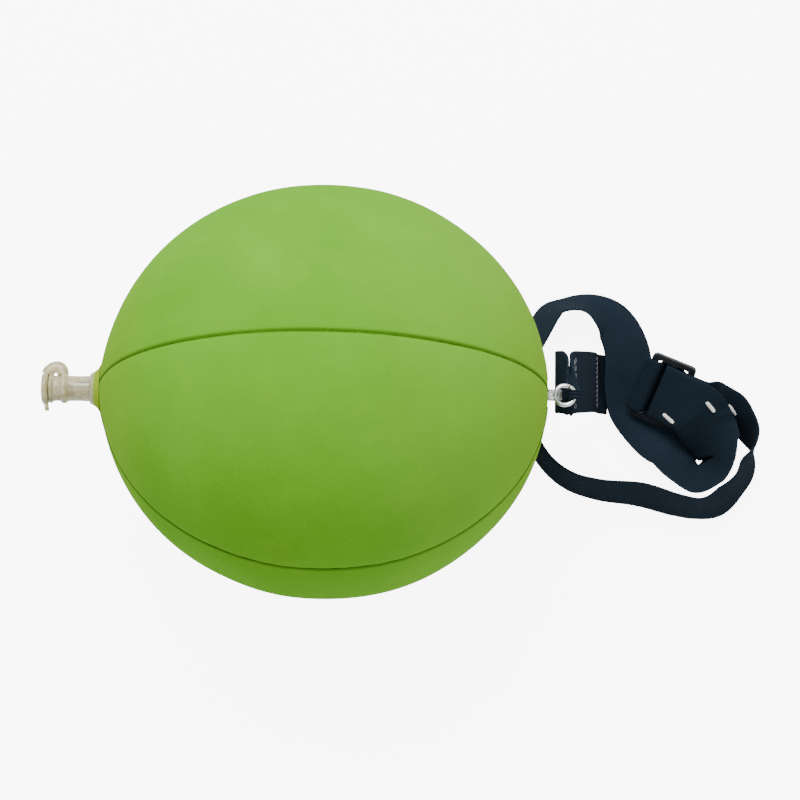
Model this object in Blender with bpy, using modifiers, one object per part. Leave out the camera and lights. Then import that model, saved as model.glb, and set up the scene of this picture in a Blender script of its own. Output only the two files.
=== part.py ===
"""Inflatable training ball with a strap.

Metres, +Z up.  The ball's pole axis lies along X: the inflation valve is at -X, the webbing at +X.
The ball rests on its flattened patch at z = 0, whose centre is the origin.
"""
import math

import bmesh
import bpy
from mathutils import Matrix, Vector

MM = 0.001

# Ball skin
HALF_LENGTH = 86.0 * MM
RADIUS = 80.0 * MM
PRESS = 0.9 * MM
AXIS_Z = RADIUS - PRESS
SKIN = 0.8 * MM
GORES = 5
FIRST_SEAM = math.radians(6.0)
SEAM_GAP = 0.3 * MM
SEAM_DIP = 0.5 * MM
SEAM_SPREAD = 3.0 * MM
VALVE_HOLE_R = 7.2 * MM
LOOP_HOLE_R = 5.0 * MM
CONE_RISE = 1.2 * MM
CONE_SPREAD = 16.0 * MM
GAP = 0.3 * MM
MERGE = 0.002 * MM
POLE_AXIS = Vector((0.0, 0.0, AXIS_Z))
PATCH_GAP = 0.7 * MM

# Valve
STEM_R = 5.0 * MM
STEM_BORE_R = 3.4 * MM
STEM_OUT_X = -106.3 * MM
STEM_IN_X = -79.5 * MM
LIP_R = 5.8 * MM
LIP_T = 1.2 * MM
COLLAR_X = -100.5 * MM
COLLAR_T = 2.2 * MM
BASE_R = 14.0 * MM
NECK_R = 6.1 * MM
NECK_OUT_X = -90.0 * MM
NECK_ROOT_X = -86.6 * MM
NECK_TAPER = 0.2 * MM
EDGE_CUT = 0.3 * MM
HEAD_CUT = 0.7 * MM
FLAP_R = 4.5 * MM
FLAP_T = 0.6 * MM
HEAD_R = 6.4 * MM
HEAD_T = 2.7 * MM
PLUG_ROOT_R = 3.05 * MM
PLUG_TIP_R = 2.3 * MM
PLUG_DEPTH = 3.6 * MM
STOPPER_HINGE = Vector((-106.3, 8.0, AXIS_Z / MM)) * MM
TETHER_W = 3.0 * MM
TETHER_T = 0.9 * MM

# Hanging loop and ring
PATCH_R = 12.0 * MM
RING_R = 3.75 * MM
RING_WIRE = 0.85 * MM
RING_X = 92.6 * MM
LOOP_W = 4.6 * MM
LOOP_T = 0.6 * MM
LOOP_R = 2.4 * MM

# Webbing
WEB_W = 25.0 * MM
WEB_T = 1.0 * MM
TAB_TURN_R = 2.3 * MM
TAB_TURN_W = 3.4 * MM
FLOOR_GAP = 0.25 * MM
FOLD_PIN = Vector((109.7, 16.8, 15.5)) * MM

# Adjuster, in its own (along, out) plane
GLIDE_AT = Vector((136.7, 13.1, 19.0)) * MM
GLIDE_HEADING = math.radians(158.0)
GLIDE_LEAN = math.radians(52.0)
GLIDE_T = 2.0 * MM
BAR_W = 2.4 * MM
SLOT_L = 5.2 * MM
END_BAR_W = 3.0 * MM
SLOT_H = 25.8 * MM
RAIL_W = 2.2 * MM
SLOT_CORNER = 0.6 * MM
GLIDE_CORNER = 2.0 * MM

TACK_L = 5.6 * MM
TACK_W = 1.3 * MM
TACK_T = 0.5 * MM


# ------------------------------------------------------------------ scene
def clear_scene():
    for obj in list(bpy.data.objects):
        bpy.data.objects.remove(obj, do_unlink=True)


def new_collection(name):
    col = bpy.data.collections.new(name)
    bpy.context.scene.collection.children.link(col)
    return col


def material(name, color, roughness, metallic=0.0, alpha=1.0):
    mat = bpy.data.materials.new(name)
    mat.use_nodes = True
    bsdf = mat.node_tree.nodes["Principled BSDF"]
    bsdf.inputs["Base Color"].default_value = (*color, 1.0)
    bsdf.inputs["Roughness"].default_value = roughness
    bsdf.inputs["Metallic"].default_value = metallic
    bsdf.inputs["Alpha"].default_value = alpha
    mat.diffuse_color = (*color, alpha)
    return mat


def add_object(name, bm, mat, pivot=None):
    """Wrap a bmesh into a named object whose origin is at the pivot."""
    pivot = Vector(pivot) if pivot is not None else Vector((0.0, 0.0, 0.0))
    bmesh.ops.translate(bm, verts=bm.verts, vec=-pivot)
    bmesh.ops.recalc_face_normals(bm, faces=bm.faces)
    mesh = bpy.data.meshes.new(name)
    bm.to_mesh(mesh)
    bm.free()
    mesh.materials.append(mat)
    obj = bpy.data.objects.new(name, mesh)
    obj.location = pivot
    PARTS.objects.link(obj)
    return obj


def thicken(obj, thickness, offset):
    mod = obj.modifiers.new("Thickness", "SOLIDIFY")
    mod.thickness = thickness
    mod.offset = offset
    mod.use_even_offset = True
    mod.use_rim = True
    return obj


# ------------------------------------------------------------------ shapes
def winding(outline):
    """Twice the signed area of a closed (x, r) outline."""
    pairs = zip(outline, outline[1:] + outline[:1])
    return sum(x0 * r1 - x1 * r0 for (x0, r0), (x1, r1) in pairs)


def lathe(name, profile, mat, steps=32, hinge=None):
    """Turn an (x, r) outline about the ball's pole axis; a hinged piece hangs from an empty on its pin."""
    bm = bmesh.new()
    verts = [bm.verts.new((x, 0.0, r)) for x, r in profile]
    for pair in zip(verts, verts[1:]):
        bm.edges.new(pair)
    if profile[0][1] > 0.0:
        bm.edges.new((verts[-1], verts[0]))
    mesh = bpy.data.meshes.new(name)
    bm.to_mesh(mesh)
    bm.free()
    mesh.materials.append(mat)
    obj = bpy.data.objects.new(name, mesh)
    PARTS.objects.link(obj)
    turn = obj.modifiers.new("Turn", "SCREW")
    turn.axis = "X"
    turn.steps = steps
    turn.render_steps = steps
    turn.use_merge_vertices = True
    turn.merge_threshold = MERGE
    turn.use_normal_calculate = False
    turn.use_normal_flip = winding(profile) < 0.0
    if hinge is None:
        obj.location = POLE_AXIS
        return obj
    pin = bpy.data.objects.new(name + "_pin", None)
    pin.location = hinge
    PARTS.objects.link(pin)
    obj.parent = pin
    obj.location = POLE_AXIS - Vector(hinge)
    return obj


def ribbon(name, stations, thickness, mat, columns=2, pivot=None):
    """A flat band: each station is (centre, across, width)."""
    rows = len(stations) - 1
    bm = bmesh.new()
    bmesh.ops.create_grid(bm, x_segments=rows, y_segments=columns, size=0.5)
    for vert in bm.verts:
        centre, across, width = stations[round((vert.co.x + 0.5) * rows)]
        vert.co = centre + across * (width * vert.co.y)
    return thicken(add_object(name, bm, mat, pivot), thickness, 0.0)


def spline(points, step):
    """Centripetal Catmull-Rom through equal-length tuples; the first three numbers are a position."""
    pts = [Vector(p) for p in points]
    pts = [pts[0] * 2.0 - pts[1]] + pts + [pts[-1] * 2.0 - pts[-2]]
    out = []
    for i in range(1, len(pts) - 2):
        p0, p1, p2, p3 = pts[i - 1:i + 3]
        t1 = max(1e-6, (p1 - p0).length) ** 0.5
        t2 = t1 + max(1e-6, (p2 - p1).length) ** 0.5
        t3 = t2 + max(1e-6, (p3 - p2).length) ** 0.5
        count = max(1, round((p2 - p1).length / step))
        for k in range(count):
            t = t1 + (t2 - t1) * k / count
            a1 = p0.lerp(p1, t / t1)
            a2 = p1.lerp(p2, (t - t1) / (t2 - t1))
            a3 = p2.lerp(p3, (t - t2) / (t3 - t2))
            b1 = a1.lerp(a2, t / t2)
            b2 = a2.lerp(a3, (t - t1) / (t3 - t1))
            out.append(b1.lerp(b2, (t - t1) / (t2 - t1)))
    out.append(pts[-2])
    return out


# ------------------------------------------------------------------ ball
def skin_x(side, r):
    """Outer surface of the skin at radius r, on the valve side (-1) or the strap side (+1)."""
    x = HALF_LENGTH * math.sqrt(1.0 - (r / RADIUS) ** 2)
    if side < 0:
        x += CONE_RISE * math.exp(-(r / CONE_SPREAD) ** 2)
    return side * x


def skin_section(u):
    """Pole-to-pole section of the skin: u runs 0 to 1 from the valve to the strap."""
    start = math.asin(VALVE_HOLE_R / RADIUS)
    end = math.pi - math.asin(LOOP_HOLE_R / RADIUS)
    angle = start + (end - start) * u
    r = RADIUS * math.sin(angle)
    side = -1 if angle < math.pi / 2 else 1
    return skin_x(side, r), r


def gore_panel(index, mat):
    rows, columns = 26, 10
    spread = (0.0, 0.02, 0.06, 0.16, 0.32, 0.5, 0.68, 0.84, 0.94, 0.98, 1.0)
    first = FIRST_SEAM + index * 2.0 * math.pi / GORES
    sweep = 2.0 * math.pi / GORES
    bm = bmesh.new()
    bmesh.ops.create_grid(bm, x_segments=rows, y_segments=columns, size=0.5)
    for vert in bm.verts:
        x, r = skin_section(vert.co.x + 0.5)
        across = spread[round((vert.co.y + 0.5) * columns)]
        trim = SEAM_GAP / (2.0 * r)
        angle = first + trim + (sweep - 2.0 * trim) * across
        edge = min(across, 1.0 - across) * sweep * r
        r -= SEAM_DIP * (r / RADIUS) ** 2 * math.exp(-(edge / SEAM_SPREAD) ** 2)
        z = AXIS_Z + r * math.cos(angle)
        vert.co = Vector((x, r * math.sin(angle), max(0.0, z)))
    obj = add_object("gore_panel_%d" % (index + 1), bm, mat)
    if obj.data.polygons[0].normal.dot(obj.data.polygons[0].center - Vector((0, 0, AXIS_Z))) < 0.0:
        obj.data.flip_normals()
    return thicken(obj, SKIN, -1.0)


# ------------------------------------------------------------------ valve
def valve_base(mat):
    radii = (BASE_R, 11.5 * MM, 9.0 * MM, 7.2 * MM)
    face = [(skin_x(-1, r) + SKIN + PATCH_GAP, r) for r in radii]
    back = [(x + SKIN, r) for x, r in reversed(face)]
    neck = [(NECK_ROOT_X, NECK_R), (NECK_OUT_X, NECK_R - NECK_TAPER), (NECK_OUT_X, STEM_R + GAP)]
    bore = [(back[0][0], STEM_R + GAP)]
    return lathe("valve_base", face + neck + bore + back, mat)


def valve_stem(mat):
    lip_x = STEM_OUT_X + LIP_T
    low, high = COLLAR_X - COLLAR_T / 2, COLLAR_X + COLLAR_T / 2
    outline = [
        (STEM_OUT_X, STEM_BORE_R), (STEM_OUT_X, LIP_R - EDGE_CUT), (STEM_OUT_X + EDGE_CUT, LIP_R),
        (lip_x, LIP_R), (lip_x, STEM_R), (low, STEM_R), (low, LIP_R), (high, LIP_R), (high, STEM_R),
        (STEM_IN_X, STEM_R), (STEM_IN_X, STEM_BORE_R),
    ]
    return lathe("valve_stem", outline, mat)


def valve_flap(mat):
    near = STEM_IN_X + GAP
    outline = [(near, 0.0), (near, FLAP_R), (near + FLAP_T, FLAP_R), (near + FLAP_T, 0.0)]
    return lathe("valve_flap", outline, mat, steps=24, hinge=(near + FLAP_T / 2, 0.0, AXIS_Z + FLAP_R))


def valve_stopper(mat):
    face = STEM_OUT_X - GAP
    outer = face - HEAD_T
    outline = [
        (outer, 0.0), (outer, HEAD_R - HEAD_CUT), (outer + HEAD_CUT, HEAD_R), (face, HEAD_R),
        (face, PLUG_ROOT_R), (STEM_OUT_X, PLUG_ROOT_R), (STEM_OUT_X + PLUG_DEPTH, PLUG_TIP_R),
        (STEM_OUT_X + PLUG_DEPTH, 0.0),
    ]
    return lathe("valve_stopper", outline, mat, hinge=STOPPER_HINGE)


def valve_tether(mat):
    """Bent strip from the stem's collar to the edge of the stopper."""
    path = [(-100.5, 6.65), (-100.5, 8.0), (-101.3, 9.2), (-103.0, 9.8), (-104.8, 9.4), (-105.9, 8.3)]
    points = [(x * MM, y * MM, AXIS_Z) for x, y in path]
    up = Vector((0.0, 0.0, 1.0))
    stations = [(p, up, TETHER_W) for p in spline(points, 0.6 * MM)]
    return ribbon("valve_tether", stations, TETHER_T, mat)


# ------------------------------------------------------------------ hanging loop
def hang_patch(mat):
    radii = [PATCH_R * step / 4 for step in range(5)]
    face = [(skin_x(1, r) - SKIN - PATCH_GAP, r) for r in radii]
    back = [(x - SKIN, r) for x, r in reversed(face)]
    return lathe("hang_patch", face + back, mat)


def hang_loop(mat):
    """Strip folded round the ring wire, its two ends passing into the skin."""
    centre = Vector((RING_X - RING_R, 0.0, AXIS_Z))
    start_x = skin_x(1, 0.0) - SKIN + 0.1 * MM
    across = Vector((0.0, 1.0, 0.0))
    points = [Vector((start_x, 0.0, AXIS_Z + LOOP_R - 0.1 * MM)), centre + Vector((-1.6 * MM, 0.0, LOOP_R))]
    for k in range(0, 13):
        angle = math.radians(90.0 - 15.0 * k)
        points.append(centre + Vector((LOOP_R * math.cos(angle), 0.0, LOOP_R * math.sin(angle))))
    points.append(centre + Vector((-1.6 * MM, 0.0, -LOOP_R)))
    points.append(Vector((start_x, 0.0, AXIS_Z - LOOP_R + 0.1 * MM)))
    return ribbon("hang_loop", [(p, across, LOOP_W) for p in points], LOOP_T, mat)


def metal_ring(mat):
    bpy.ops.mesh.primitive_torus_add(major_radius=RING_R, minor_radius=RING_WIRE, major_segments=36,
                                     minor_segments=12, location=(RING_X, 0.0, AXIS_Z))
    obj = bpy.context.object
    obj.name = obj.data.name = "metal_ring"
    pivot = Vector((RING_X - RING_R, 0.0, AXIS_Z))
    obj.data.transform(Matrix.Translation(obj.location - pivot))
    obj.location = pivot
    for col in list(obj.users_collection):
        col.objects.unlink(obj)
    PARTS.objects.link(obj)
    obj.data.materials.append(mat)
    return obj


# ------------------------------------------------------------------ webbing
def tab_stations():
    """Tab of webbing: short inner leg, turn over the ring wire, long outer leg down to the strap."""
    wire = Vector((RING_X + RING_R, 0.0, AXIS_Z))
    inner = [(90.2, 8.1, 63.0, 25.0), (91.4, 7.6, 66.0, 25.0), (92.8, 7.0, 68.5, 25.0),
             (94.0, 5.6, 70.6, 24.0), (94.4, 3.7, 72.8, 18.0), (94.3, 1.2, 75.5, 5.0)]
    outer = [(97.7, 1.2, 75.8, 5.0), (95.9, 3.7, 72.4, 18.0), (95.6, 5.9, 69.4, 25.0),
             (96.9, 7.8, 64.5, 25.0), (99.8, 9.4, 57.0, 25.0), (102.6, 11.1, 48.0, 25.0),
             (105.4, 13.1, 37.5, 25.0), (107.7, 14.8, 28.0, 25.0), (109.0, 16.0, 20.5, 25.0),
             (109.7, 16.8, 15.2, 25.0), (110.8, 17.3, 10.2, 25.0), (114.4, 17.7, 6.1, 25.0)]
    rows = [(x * MM, y * MM, z * MM, w * MM) for x, y, z, w in inner]
    for k in range(0, 7):
        angle = math.radians(180.0 - 30.0 * k)
        x = wire.x + TAB_TURN_R * math.cos(angle)
        z = wire.z + TAB_TURN_R * math.sin(angle)
        rows.append((x, 0.0, z, TAB_TURN_W))
    rows += [(x * MM, y * MM, z * MM, w * MM) for x, y, z, w in outer]
    across = Vector((0.0, 1.0, 0.0))
    return [(Vector(row[:3]), across, row[3]) for row in spline(rows, 2.5 * MM)]


def strap_tab(mat):
    return ribbon("strap_tab", tab_stations(), WEB_T, mat, columns=4,
                  pivot=(RING_X + RING_R, 0.0, AXIS_Z))


def glide_frame():
    """Unit vectors at the adjuster: along the webbing, across it, and out of its lower face."""
    along = Vector((math.cos(GLIDE_HEADING), math.sin(GLIDE_HEADING), 0.0))
    right = Vector((along.y, -along.x, 0.0))
    up = Vector((0.0, 0.0, 1.0))
    across = right * math.sin(GLIDE_LEAN) + up * math.cos(GLIDE_LEAN)
    out = right * math.cos(GLIDE_LEAN) - up * math.sin(GLIDE_LEAN)
    return along, across, out


def threaded(points):
    """Controls given in the adjuster's own plane as (along, out)."""
    along, across, out = glide_frame()
    return [(GLIDE_AT + along * (a * MM) + out * (n * MM), across) for a, n in points]


def grounded(points):
    """Controls on the floor as (x, y, lean in degrees, lift); a positive lean tips the top edge left."""
    return [((x * MM, y * MM), math.radians(lean), lift * MM) for x, y, lean, lift in points]


ANCHOR_HOOK = [(-0.6, 1.75), (0.6, 1.8), (1.8, 1.6), (2.05, 0.4), (2.05, -0.4), (1.8, -1.6), (0.4, -1.8),
               (-1.2, -1.85), (-3.2, -2.15), (-6.5, -3.2), (-10.5, -3.9)]

INNER_RUN = [(150.0, 4.9, 56, 14.4), (153.3, 0.6, 60, 11.6), (156.2, -3.6, 57, 7.8), (158.8, -8.0, 47, 4.5),
             (160.0, -13.3, 26, 2.0), (157.2, -18.9, 28, 0.4), (151.2, -21.8, 36, 0), (144.8, -17.3, 42, 0),
             (140.9, -11.2, 54, 0), (136.1, -5.3, 63, 0), (130.6, 1.6, 67, 0), (125.8, 8.6, 66, 0),
             (124.0, 16.9, 61, 0), (123.9, 25.6, 57, 0), (122.4, 34.4, 55, 0), (117.9, 43.2, 51, 0),
             (110.9, 48.8, 38, 0)]

OUTER_RUN = [(104.5, 50.9, 28, 0), (98.0, 50.4, 23, 0), (91.5, 47.9, 25, 0), (85.4, 37.3, 24, 0),
             (80.8, 24.0, 16, 0), (79.6, 8.7, 7, 0), (82.9, -5.0, 6, 0), (89.5, -16.3, 6, 0),
             (98.8, -23.6, 8, 0), (111.1, -27.2, 11, 0), (127.8, -28.9, 14, 0), (143.4, -33.2, 12, 0),
             (152.0, -34.3, 12, 0), (160.6, -31.3, 21, 0), (168.5, -24.0, 17, 0), (172.2, -16.6, 19, 0),
             (174.2, -10.0, 6, 0), (172.8, -4.5, -8, 0.5), (169.6, 0.9, -18, 2.0), (164.6, 5.0, -34, 4.0),
             (157.4, 7.0, -46, 6.6)]

ADJUSTER_WEAVE = [(-15.0, -1.75), (-10.0, -1.75), (-7.2, -1.8), (-5.6, -1.55), (-4.4, 0.0), (-2.9, 2.0),
                  (-1.4, 2.95), (0.2, 3.15), (2.0, 3.1), (3.5, 2.1), (4.6, 0.0), (5.6, -1.55), (7.2, -1.8),
                  (9.5, -1.75), (12.0, -1.75)]


def strap_stations():
    """The whole loop of webbing, from its sewn end at the adjuster round to its free tail."""
    controls = threaded(ANCHOR_HOOK) + grounded(INNER_RUN + OUTER_RUN) + threaded(ADJUSTER_WEAVE)
    flat = [c[0] if len(c) == 3 else (c[0].x, c[0].y) for c in controls]
    rows = []
    for i, control in enumerate(controls):
        if len(control) == 2:
            rows.append((*control[0], *control[1]))
            continue
        (x, y), lean, lift = control
        before = Vector(flat[i - 1])
        after = Vector(flat[min(i + 1, len(flat) - 1)])
        heading = (after - before).normalized()
        left = Vector((-heading.y, heading.x, 0.0))
        across = left * math.sin(lean) + Vector((0.0, 0.0, math.cos(lean)))
        z = WEB_W / 2 * math.cos(lean) + WEB_T / 2 * abs(math.sin(lean)) + FLOOR_GAP + lift
        rows.append((x, y, z, *across))
    return rows


def smooth_strap():
    rows = strap_stations()
    scaled = [(*row[:3], *(v * 4.0 * MM for v in row[3:])) for row in rows]
    out = []
    for row in spline(scaled, 3.2 * MM):
        out.append((Vector(row[:3]), Vector(row[3:]).normalized(), WEB_W))
    return out


def neck_strap(mat):
    return ribbon("neck_strap", smooth_strap(), WEB_T, mat, columns=2, pivot=FOLD_PIN)


# ------------------------------------------------------------------ adjuster and stitching
def rounded_rect(half_x, half_y, radius, steps=4):
    points = []
    for cx, cy, start in ((1, 1, 0), (-1, 1, 90), (-1, -1, 180), (1, -1, 270)):
        for k in range(steps + 1):
            angle = math.radians(start + 90.0 * k / steps)
            points.append((cx * (half_x - radius) + radius * math.cos(angle),
                           cy * (half_y - radius) + radius * math.sin(angle)))
    return points


def flat_outline(name, outlines, thickness, along, across, centre):
    """Solid with a flat outline: the first loop is the edge, the rest are holes through it."""
    curve = bpy.data.curves.new(name, "CURVE")
    curve.dimensions = "2D"
    curve.fill_mode = "BOTH"
    curve.extrude = thickness / 2
    for points in outlines:
        spl = curve.splines.new("POLY")
        spl.points.add(len(points) - 1)
        for point, (x, y) in zip(spl.points, points):
            point.co = (x, y, 0.0, 1.0)
        spl.use_cyclic_u = True
    temp = bpy.data.objects.new(name, curve)
    PARTS.objects.link(temp)
    graph = bpy.context.evaluated_depsgraph_get()
    mesh = bpy.data.meshes.new_from_object(temp.evaluated_get(graph))
    bpy.data.objects.remove(temp, do_unlink=True)
    bm = bmesh.new()
    bm.from_mesh(mesh)
    bmesh.ops.remove_doubles(bm, verts=bm.verts, dist=MERGE)
    turn = Matrix((along, across, along.cross(across))).transposed().to_4x4()
    bmesh.ops.transform(bm, matrix=Matrix.Translation(centre) @ turn, verts=bm.verts)
    return bm


def tri_glide(mat):
    """Flat frame with two slots and a centre bar."""
    half_l = BAR_W / 2 + SLOT_L + END_BAR_W
    half_h = SLOT_H / 2 + RAIL_W
    shift = BAR_W / 2 + SLOT_L / 2
    slot = rounded_rect(SLOT_L / 2, SLOT_H / 2, SLOT_CORNER)
    outlines = [rounded_rect(half_l, half_h, GLIDE_CORNER)]
    outlines += [[(x + side * shift, y) for x, y in slot] for side in (-1.0, 1.0)]
    along, across, out = glide_frame()
    bm = flat_outline("tri_glide", outlines, GLIDE_T, along, across, GLIDE_AT)
    return add_object("tri_glide", bm, mat, GLIDE_AT)


def thread_bar(name, centre, along, normal, length, width, mat, pivot):
    """Small rounded block of thread lying on the webbing."""
    along = along.normalized()
    normal = (normal - along * normal.dot(along)).normalized()
    side = normal.cross(along)
    ends = rounded_rect(length / 2, width / 2, width * 0.49, steps=3)
    bm = flat_outline(name, [ends], TACK_T, along, side, centre)
    return add_object(name, bm, mat, pivot)


def on_band(stations, index, slide, upward, rise=0.0):
    """Point and directions on the upper face of a band, slid sideways along its width."""
    centre, across, width = stations[index]
    along = (stations[index + 1][0] - stations[index - 1][0]).normalized()
    normal = along.cross(across).normalized()
    if normal.dot(upward) < 0.0:
        normal = -normal
    lift = WEB_T / 2 + GAP + TACK_T / 2 + rise
    return centre + across * slide + normal * lift, along, across, normal


def bar_tacks(mat):
    """Three stitched bars: (share of the strap's length, slide across, skew in degrees, extra rise in mm)."""
    stations = smooth_strap()
    upward = Vector((0.0, -0.3, 1.0))
    spots = ((0.0657, -8.9, -15.0, 0.4), (0.0949, 5.9, 7.0, 0.4), (0.854, 2.9, 31.0, 0.9))
    for i, (share, slide, skew, rise) in enumerate(spots):
        index = round(share * (len(stations) - 1))
        centre, along, across, normal = on_band(stations, index, slide * MM, upward, rise * MM)
        lie = along * math.cos(math.radians(skew)) + across * math.sin(math.radians(skew))
        thread_bar("bar_tack_%d" % (i + 1), centre, lie, normal, TACK_L, TACK_W, mat, FOLD_PIN)


def tab_threads(mat):
    stations = tab_stations()
    pivot = (RING_X + RING_R, 0.0, AXIS_Z)
    out = Vector((1.0, 0.0, 0.4))
    for name, height, slide, length in (("tab_seam", 65.5, 1.0, 16.0), ("tab_bartack", 24.0, 0.0, 21.0)):
        half = len(stations) // 3
        index = min(range(half, len(stations) - 1), key=lambda i: abs(stations[i][0].z - height * MM))
        centre, along, across, normal = on_band(stations, index, slide * MM, out)
        thread_bar(name, centre, across, normal, length * MM, TACK_W, mat, pivot)


# ------------------------------------------------------------------ build
clear_scene()
PARTS = new_collection("inflatable_ball_with_strap")

FLOCK = material("flocked_skin", (0.24, 0.46, 0.06), 0.95)
CLEAR = material("clear_vinyl", (0.72, 0.68, 0.55), 0.2, alpha=0.6)
METAL = material("ring_metal", (0.75, 0.76, 0.78), 0.2, metallic=1.0)
WEBBING = material("black_webbing", (0.012, 0.014, 0.02), 0.85)
PLASTIC = material("adjuster_plastic", (0.02, 0.02, 0.025), 0.35)
THREAD = material("white_thread", (0.85, 0.85, 0.82), 0.7)
DARK_THREAD = material("grey_thread", (0.1, 0.11, 0.13), 0.7)

for gore in range(GORES):
    gore_panel(gore, FLOCK)
valve_base(CLEAR)
valve_stem(CLEAR)
valve_flap(CLEAR)
valve_stopper(CLEAR)
valve_tether(CLEAR)
hang_patch(CLEAR)
hang_loop(CLEAR)
metal_ring(METAL)
strap_tab(WEBBING)
neck_strap(WEBBING)
tri_glide(PLASTIC)
bar_tacks(THREAD)
tab_threads(DARK_THREAD)
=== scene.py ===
"""Looks of the inflatable training ball with a strap: flocked gores, clear valve, ring and webbing."""
import math

import bmesh
import bpy
from mathutils import Matrix, Vector, noise


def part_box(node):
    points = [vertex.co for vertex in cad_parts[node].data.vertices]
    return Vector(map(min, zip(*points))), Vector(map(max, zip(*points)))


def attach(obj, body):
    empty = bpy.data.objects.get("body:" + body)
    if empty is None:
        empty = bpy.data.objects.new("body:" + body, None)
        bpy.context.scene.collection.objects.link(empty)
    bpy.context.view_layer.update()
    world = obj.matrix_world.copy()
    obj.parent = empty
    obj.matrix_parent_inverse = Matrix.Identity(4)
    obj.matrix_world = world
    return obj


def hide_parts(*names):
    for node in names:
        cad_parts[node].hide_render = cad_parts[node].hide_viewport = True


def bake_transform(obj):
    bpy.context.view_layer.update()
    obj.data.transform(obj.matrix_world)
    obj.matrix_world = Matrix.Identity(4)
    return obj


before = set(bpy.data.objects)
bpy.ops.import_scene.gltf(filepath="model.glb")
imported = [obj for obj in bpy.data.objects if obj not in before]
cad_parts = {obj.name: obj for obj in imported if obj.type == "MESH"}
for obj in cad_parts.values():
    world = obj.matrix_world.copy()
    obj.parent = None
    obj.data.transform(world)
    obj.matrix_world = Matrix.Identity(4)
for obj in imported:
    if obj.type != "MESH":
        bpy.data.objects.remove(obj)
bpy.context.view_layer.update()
MM = 0.001


def middle(node):
    low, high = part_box(node)
    return (Vector(low) + Vector(high)) / 2


def span(node):
    low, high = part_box(node)
    return Vector(high) - Vector(low)


# ------------------------------------------------------------------ directions and sizes
ALONG_AXIS = Vector((1.0, 0.0, 0.0))
ACROSS = Vector((0.0, 1.0, 0.0))
UP = Vector((0.0, 0.0, 1.0))
FULL_TURN = 2.0 * math.pi

GORES = 5
ball_boxes = [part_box("gore_panel_%d" % (i + 1)) for i in range(GORES)]
RADIUS = max(high[1] for low, high in ball_boxes) + 0.05 * MM
AXIS_Z = middle("metal_ring").z
HALF_LENGTH = 86.0 * MM
FIRST_SEAM = math.radians(6.0)
GORE_ANGLE = FULL_TURN / GORES
SKIN = 0.8 * MM
VALVE_HOLE_R = 6.9 * MM
LOOP_HOLE_R = 4.6 * MM
CONE_RISE = 1.2 * MM
CONE_SPREAD = 16.0 * MM
POLE_FADE = 22.0 * MM

stem_low, stem_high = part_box("valve_stem")
STEM_OUT_X = stem_low[0]
STEM_IN_X = stem_high[0]
RING_WIRE = span("metal_ring").z / 2
RING_R = span("metal_ring").x / 2 - RING_WIRE
RING_X = middle("metal_ring").x
WEB_W = 25.0 * MM
WEB_T = 1.0 * MM
GROUND_GAP = 0.25 * MM
TAB_STEP = 0.8 * MM
STRAP_STEP = 0.9 * MM
STITCH_LIFT = 0.62 * MM
GLIDE_AT = middle("tri_glide")
GLIDE_HEADING = math.radians(158.0)
GLIDE_LEAN = math.radians(52.0)


# ------------------------------------------------------------------ node material helpers
class Graph:
    """Short forms for building a material's nodes."""

    def __init__(self, name):
        self.mat = bpy.data.materials.new(name)
        self.mat.use_nodes = True
        self.tree = self.mat.node_tree
        self.bsdf = self.tree.nodes["Principled BSDF"]

    def node(self, kind, inputs=None, **settings):
        made = self.tree.nodes.new("ShaderNode" + kind)
        for key, value in settings.items():
            setattr(made, key, value)
        for key, value in (inputs or {}).items():
            self.feed(made.inputs[key], value)
        return made

    def feed(self, socket, value):
        if isinstance(value, bpy.types.NodeSocket):
            self.tree.links.new(value, socket)
        else:
            socket.default_value = value

    def math(self, operation, a, b=0.0):
        return self.node("Math", {0: a, 1: b}, operation=operation).outputs[0]

    def times(self, a, b):
        return self.math("MULTIPLY", a, b)

    def split(self, vector):
        return self.node("SeparateXYZ", {"Vector": vector}).outputs

    def ramp(self, factor, stops):
        made = self.node("ValToRGB", {"Fac": factor})
        while len(made.color_ramp.elements) < len(stops):
            made.color_ramp.elements.new(0.5)
        for element, (place, color) in zip(made.color_ramp.elements, stops):
            element.position = place
            element.color = (*color, 1.0) if isinstance(color, tuple) else (color, color, color, 1.0)
        return made.outputs["Color"]

    def mix(self, factor, a, b):
        made = self.node("Mix", data_type="RGBA", blend_type="MIX")
        self.feed(made.inputs["Factor"], factor)
        for socket, value in ((made.inputs[6], a), (made.inputs[7], b)):
            self.feed(socket, (*value, 1.0) if isinstance(value, tuple) else value)
        return made.outputs[2]

    def noise(self, vector, scale, detail=4.0, roughness=0.55):
        return self.node("TexNoise", {"Vector": vector, "Scale": scale, "Detail": detail,
                                      "Roughness": roughness}).outputs["Fac"]

    def bump(self, height, strength, distance, normal=None):
        inputs = {"Height": height, "Strength": strength, "Distance": distance}
        if normal is not None:
            inputs["Normal"] = normal
        return self.node("Bump", inputs).outputs["Normal"]

    def set(self, **values):
        """Feed the Principled node; an underscore in a key stands for a space."""
        for key, value in values.items():
            name = key.replace("_", " ")
            self.feed(self.bsdf.inputs[name], (*value, 1.0) if isinstance(value, tuple) else value)


def object_place(graph):
    return graph.node("TexCoord").outputs["Object"]


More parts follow.
